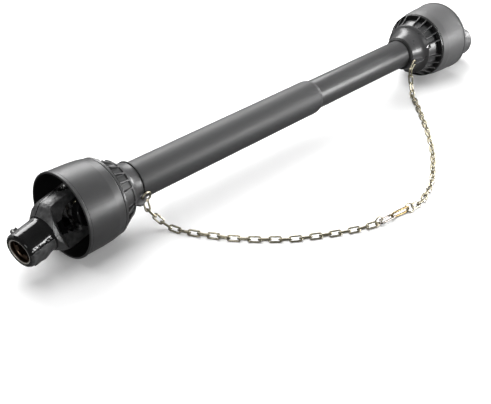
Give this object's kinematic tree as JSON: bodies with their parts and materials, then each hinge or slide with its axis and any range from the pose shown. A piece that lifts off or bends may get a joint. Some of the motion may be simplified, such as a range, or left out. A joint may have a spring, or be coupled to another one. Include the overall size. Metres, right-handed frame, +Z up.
{
  "type": "universal joint shaft",
  "caption": "Guarded telescopic drive shaft: a universal joint with a splined quick-release yoke at each end, plastic guard tubes with ribbed collars and bells, and a hooked chain.",
  "frame": {"origin": "on the floor under the middle of the shaft, midway between the rims of the two guard bells", "axes": "+X along the shaft from the near (female, outer tube) half to the far (male, inner tube) half; +Z up, away from the floor the shaft lies on"},
  "size_m": [1.1567, 0.3797, 0.14],
  "materials": {
    "screw_steel": "bright",
    "bell_plastic": "satin",
    "collar_plastic": "satin",
    "rubber": "matte",
    "bearing_nylon": "satin",
    "tube_plastic": "satin",
    "yoke_paint": "gloss",
    "hook_gold": "yellow plated",
    "hook_silver": "plated",
    "chain_zinc": "yellow plated",
    "nipple_zinc": "plated",
    "bearing_steel": "ground",
    "drive_tube_steel": "drawn",
    "small_steel": "satin"
  },
  "bodies": {
    "guard_near": {"near_guard_bell": "bell_plastic", "near_guard_collar": "collar_plastic", "near_bell_screws": "screw_steel", "near_tube_screws": "screw_steel", "near_tube_seal": "rubber", "near_guard_bearing": "bearing_nylon", "outer_guard_tube": "tube_plastic", "near_chain_rings": "chain_zinc", "near_chain": "chain_zinc", "near_chain_hook": "hook_silver", "far_chain_hook": "hook_gold", "far_hook_ring": "chain_zinc", "far_chain": "chain_zinc"},
    "drive_outer": {"near_inner_yoke": "yoke_paint", "near_inner_yoke_cups": "bearing_steel", "near_inner_yoke_needles": "bearing_steel", "near_inner_yoke_circlips": "small_steel", "near_roll_pin": "small_steel", "outer_drive_tube": "drive_tube_steel"},
    "near_cross_body": {"near_cross": "bearing_steel", "near_cross_seals": "rubber", "near_grease_nipple": "nipple_zinc"},
    "near_yoke_body": {"near_end_yoke": "yoke_paint", "near_end_yoke_cups": "bearing_steel", "near_end_yoke_needles": "bearing_steel", "near_end_yoke_circlips": "small_steel", "near_push_pin_spring": "small_steel", "near_push_pin_washer": "small_steel"},
    "near_pin_body": {"near_push_pin": "small_steel"},
    "guard_far": {"far_guard_bell": "bell_plastic", "far_guard_collar": "collar_plastic", "far_bell_screws": "screw_steel", "far_tube_screws": "screw_steel", "far_tube_seal": "rubber", "far_guard_bearing": "bearing_nylon", "inner_guard_tube": "tube_plastic", "far_ear_ring": "chain_zinc"},
    "drive_inner": {"far_inner_yoke": "yoke_paint", "far_inner_yoke_cups": "bearing_steel", "far_inner_yoke_needles": "bearing_steel", "far_inner_yoke_circlips": "small_steel", "far_roll_pin": "small_steel", "inner_drive_tube": "drive_tube_steel"},
    "far_cross_body": {"far_cross": "bearing_steel", "far_cross_seals": "rubber", "far_grease_nipple": "nipple_zinc"},
    "far_yoke_body": {"far_end_yoke": "yoke_paint", "far_end_yoke_cups": "bearing_steel", "far_end_yoke_needles": "bearing_steel", "far_end_yoke_circlips": "small_steel", "far_push_pin_spring": "small_steel", "far_push_pin_washer": "small_steel"},
    "far_pin_body": {"far_push_pin": "small_steel"}
  },
  "joints": [
    {"name": "telescope", "type": "slide", "parent": "guard_near", "child": "guard_far", "axis": [1, 0, 0], "range_m": [-0.22, 0.1], "deforming": ["near_chain_rings", "near_chain", "near_chain_hook", "far_chain_hook", "far_hook_ring", "far_chain", "far_ear_ring"]},
    {"name": "drive_spin", "type": "hinge", "parent": "guard_near", "child": "drive_outer", "pos_m": [0, 0, 0.07], "axis": [1, 0, 0], "continuous": true},
    {"name": "inner_drive_spin", "type": "hinge", "parent": "guard_far", "child": "drive_inner", "pos_m": [0, 0, 0.07], "axis": [1, 0, 0], "continuous": true},
    {"name": "near_cross_tilt", "type": "hinge", "parent": "drive_outer", "child": "near_cross_body", "pos_m": [-0.465, 0, 0.07], "axis": [0, 0.9511, -0.309], "range_deg": [-20, 40]},
    {"name": "near_yoke_swing", "type": "hinge", "parent": "near_cross_body", "child": "near_yoke_body", "pos_m": [-0.465, 0, 0.07], "axis": [-0.1736, 0.3043, 0.9366], "range_deg": [-34, 26]},
    {"name": "near_pin_press", "type": "slide", "parent": "near_yoke_body", "child": "near_pin_body", "axis": [0.1847, -0.736, -0.6512], "range_m": [0, 0.008], "stiffness_N_per_m": 1500, "springref_m": -0.004, "deforming": ["near_push_pin_spring"]},
    {"name": "far_cross_tilt", "type": "hinge", "parent": "drive_inner", "child": "far_cross_body", "pos_m": [0.465, 0, 0.07], "axis": [0, 0.9511, -0.309], "range_deg": [-49, 11]},
    {"name": "far_yoke_swing", "type": "hinge", "parent": "far_cross_body", "child": "far_yoke_body", "pos_m": [0.465, 0, 0.07], "axis": [0.3256, 0.2922, 0.8992], "range_deg": [-30, 30]},
    {"name": "far_pin_press", "type": "slide", "parent": "far_yoke_body", "child": "far_pin_body", "axis": [-0.2819, -0.7286, -0.6243], "range_m": [0, 0.008], "stiffness_N_per_m": 1500, "springref_m": -0.004, "deforming": ["far_push_pin_spring"]}
  ],
  "couplings": [
    {"joint": "inner_drive_spin", "follows": "drive_spin", "ratio": 1}
  ]
}
